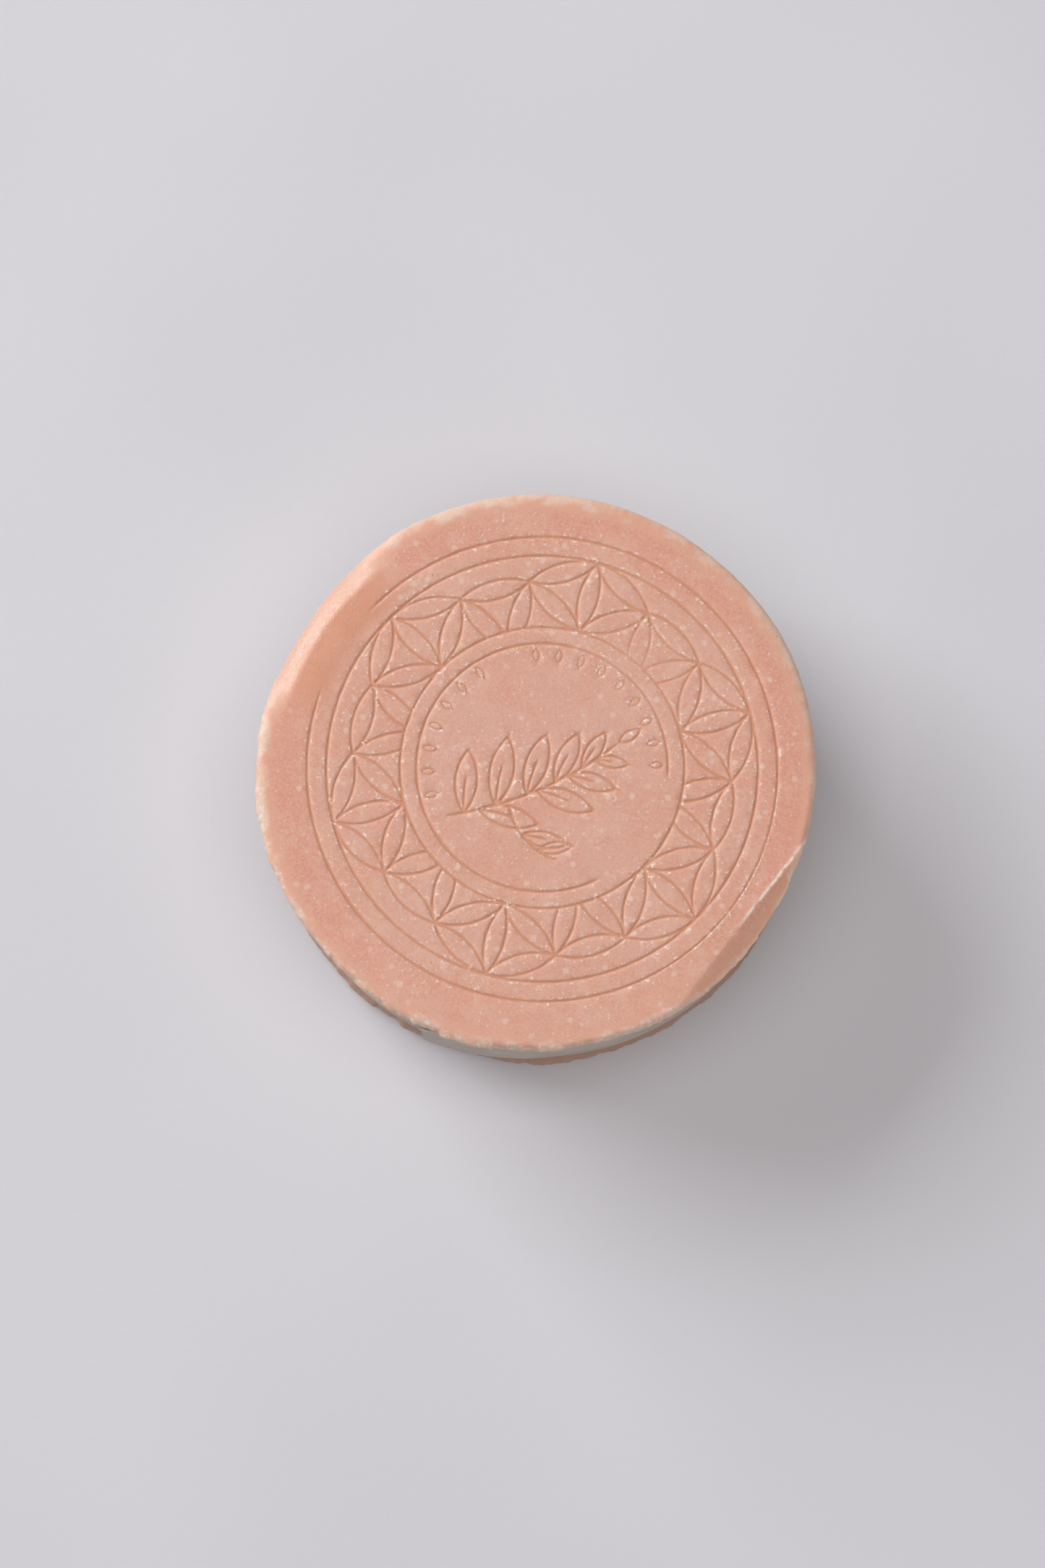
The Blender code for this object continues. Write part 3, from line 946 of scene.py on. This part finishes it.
def paper_material():
    """White uncoated paper with faint fibres and cloudiness, its colour greyed and warmed: painted
    shade and painted warm light bounced from the soap.
    """
    paint = Paint("paper")
    cloud = paint.ramp(paint.noise(5.0, 3.0), 0.35, 0.65)
    # painted shade and painted warm bounce light from the soap: the white paper's colours here are
    # greyed and warmed
    colour = paint.mix(cloud, (0.61, 0.53, 0.465), (0.67, 0.585, 0.52))
    fibre = paint.ramp(paint.noise(0.35, 4.0, 0.7, shift=1.1), 0.4, 0.7)
    colour = paint.over(colour, fibre, 0.3, (0.56, 0.48, 0.42))
    paint.feed(paint.shader.inputs["Base Color"], colour)
    paint.feed(paint.shader.inputs["Roughness"], paint.ramp(fibre, 0.0, 1.0, 0.82, 0.92))
    tooth = paint.bump(paint.noise(0.22, 4.0, 0.7, shift=2.3), 0.012)
    paint.feed(paint.shader.inputs["Normal"], paint.bump(cloud, 0.02, tooth))
    paint.shader.inputs["Specular IOR Level"].default_value = 0.3
    return paint.material


def tape_material():
    """Clear-white adhesive tape: slightly glossy, with small bubbles and smears of glue."""
    paint = Paint("tape")
    bubble = paint.specks(1.2, 0.12, 0.24, 0.5, 0.0)
    smear = paint.ramp(paint.noise(2.5, 3.0), 0.4, 0.65)
    colour = paint.mix(smear, (0.66, 0.62, 0.53), (0.74, 0.71, 0.64))
    colour = paint.over(colour, bubble, 0.5, (0.80, 0.78, 0.74))
    paint.feed(paint.shader.inputs["Base Color"], colour)
    paint.feed(paint.shader.inputs["Roughness"], paint.ramp(smear, 0.0, 1.0, 0.22, 0.4))
    rough = paint.bump(paint.noise(0.6, 3.0), 0.02)
    paint.feed(paint.shader.inputs["Normal"], paint.bump(bubble, 0.03, rough))
    return paint.material


def floor_material():
    """Pale grey-lavender painted board."""
    paint = Paint("floor")
    tone = paint.ramp(paint.noise(90.0, 2.0), 0.35, 0.65)
    colour = paint.mix(tone, (0.66, 0.65, 0.685), (0.685, 0.675, 0.71))
    paint.feed(paint.shader.inputs["Base Color"], colour)
    paint.shader.inputs["Roughness"].default_value = 0.75
    paint.feed(paint.shader.inputs["Normal"], paint.bump(paint.noise(1.5, 3.0), 0.03))
    return paint.material


# ---------------------------------------------------------------- pieces


def make_soap():
    obj = add_mesh("cast_soap", *soap_mesh())
    obj.data.materials.append(soap_material())
    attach(obj, "puck")
    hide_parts("soap_puck")
    return obj


def make_band(paper):
    """The paper round the waist, from its inner end to where it starts to climb over that end."""
    given = strip_mesh(
        BAND_INNER_END, RAMP_START, 1.0, 12, PAPER, band_radius, BAND_BOTTOM, BAND_TOP,
    )
    obj = add_mesh("paper_band", *given, sharp_angle=SHARP_ANGLE)
    obj.data.materials.append(paper)
    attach(obj, "puck")
    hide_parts("label_band")
    return obj


def flap_radius(angle, up):
    """The lap's inner face: the ramp, then the loose end standing off with a curled top corner."""
    past = min(max((RAMP_END - angle) / (RAMP_END - FLAP_TIP), 0.0), 1.0)
    length = math.radians(RAMP_END - FLAP_TIP) * LAP_RADIUS
    lift = length * past * math.sin(math.radians(FLAP_LIFT))
    corner = max(0.0, past - CURL_START) * max(0.0, up - CURL_START) / (1 - CURL_START) ** 2
    return band_radius(angle, up) + lift * (1 + 0.2 * up) + CURL_HEIGHT * corner**1.5


def make_flap(paper):
    """The lap's ramp and its loose end in one piece, the loose end standing a little off the band.
    """
    given = strip_mesh(
        RAMP_START, FLAP_TIP, 0.5, 24, PAPER, flap_radius, BAND_BOTTOM, BAND_TOP,
    )
    obj = add_mesh("paper_band_end", *given, sharp_angle=SHARP_ANGLE)
    obj.data.materials.append(paper)
    line = Vector(hinge["pos_m"])
    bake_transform(obj)
    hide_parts("band_flap")
    return obj


def make_tape():
    """The strip of tape that holds the lap, pressed onto the band under the loose end."""
    given = strip_mesh(
        *TAPE_ANGLES, 0.5, 20, TAPE, lambda angle, up: TAPE_RADIUS + ripple(angle, up),
        tape_low.z / MM, tape_high.z / MM,
    )
    obj = add_mesh("adhesive_tape", *given, sharp_angle=SHARP_ANGLE)
    obj.data.materials.append(tape_material())
    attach(obj, "puck")
    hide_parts("lap_tape")
    return obj


# ---------------------------------------------------------------- stage

CAMERA_DISTANCE = 500.0
CAMERA_TILT = 9.0
FLOOR_SIZE = 12.0  # metres: it reaches past the horizon of the low views
FRAME_HEIGHT = 209.7
AIM = (-1.91, -1.73)
SENSOR = 36.0


def make_camera():
    data = bpy.data.cameras.new("camera")
    camera = bpy.data.objects.new("camera", data)
    bpy.context.scene.collection.objects.link(camera)
    tilt = math.radians(CAMERA_TILT)
    back = Vector((0.0, -math.sin(tilt), math.cos(tilt)))
    target = Vector((*AIM, TOP)) * MM
    camera.location = target + back * CAMERA_DISTANCE * MM
    camera.rotation_euler = (-back).to_track_quat("-Z", "Y").to_euler()
    data.sensor_width = SENSOR
    data.lens = SENSOR * CAMERA_DISTANCE / FRAME_HEIGHT
    bpy.context.scene.camera = camera


def make_floor():
    bpy.ops.mesh.primitive_plane_add(size=FLOOR_SIZE, location=(0.0, 0.0, 0.0))
    floor = bpy.context.object
    floor.name = "floor"
    floor.data.materials.append(floor_material())


def add_light(name, azimuth, elevation, distance, size, power, colour):
    """A rectangular light (width, height) that faces the puck from an azimuth and elevation."""
    data = bpy.data.lights.new(name, "AREA")
    data.shape = "RECTANGLE"
    data.size, data.size_y = size
    data.energy = power
    data.color = colour
    light = bpy.data.objects.new(name, data)
    a, e = math.radians(azimuth), math.radians(elevation)
    way = Vector((math.cos(a) * math.cos(e), math.sin(a) * math.cos(e), math.sin(e)))
    light.location = way * distance
    light.rotation_euler = way.to_track_quat("Z", "Y").to_euler()
    bpy.context.scene.collection.objects.link(light)


def make_light():
    world = bpy.data.worlds.new("studio")
    bpy.context.scene.world = world
    world.use_nodes = True
    sky = world.node_tree.nodes["Background"]
    sky.inputs["Color"].default_value = (1.0, 0.98, 0.97, 1.0)
    sky.inputs["Strength"].default_value = 0.12
    add_light("window", 143.0, 30.0, 1.8, (1.2, 0.9), 29.0, (0.94, 0.96, 0.98))
    add_light("ceiling", 270.0, 84.0, 1.6, (1.5, 1.2), 12.5, (1.0, 0.965, 0.955))
    add_light("reflector", 325.0, 20.0, 1.8, (1.2, 0.8), 3.2, (1.0, 0.97, 0.95))
    bpy.context.scene.view_settings.view_transform = "Standard"


make_camera()
make_floor()
make_light()
make_soap()
sheet_paper = paper_material()
make_band(sheet_paper)
make_flap(sheet_paper)
make_tape()
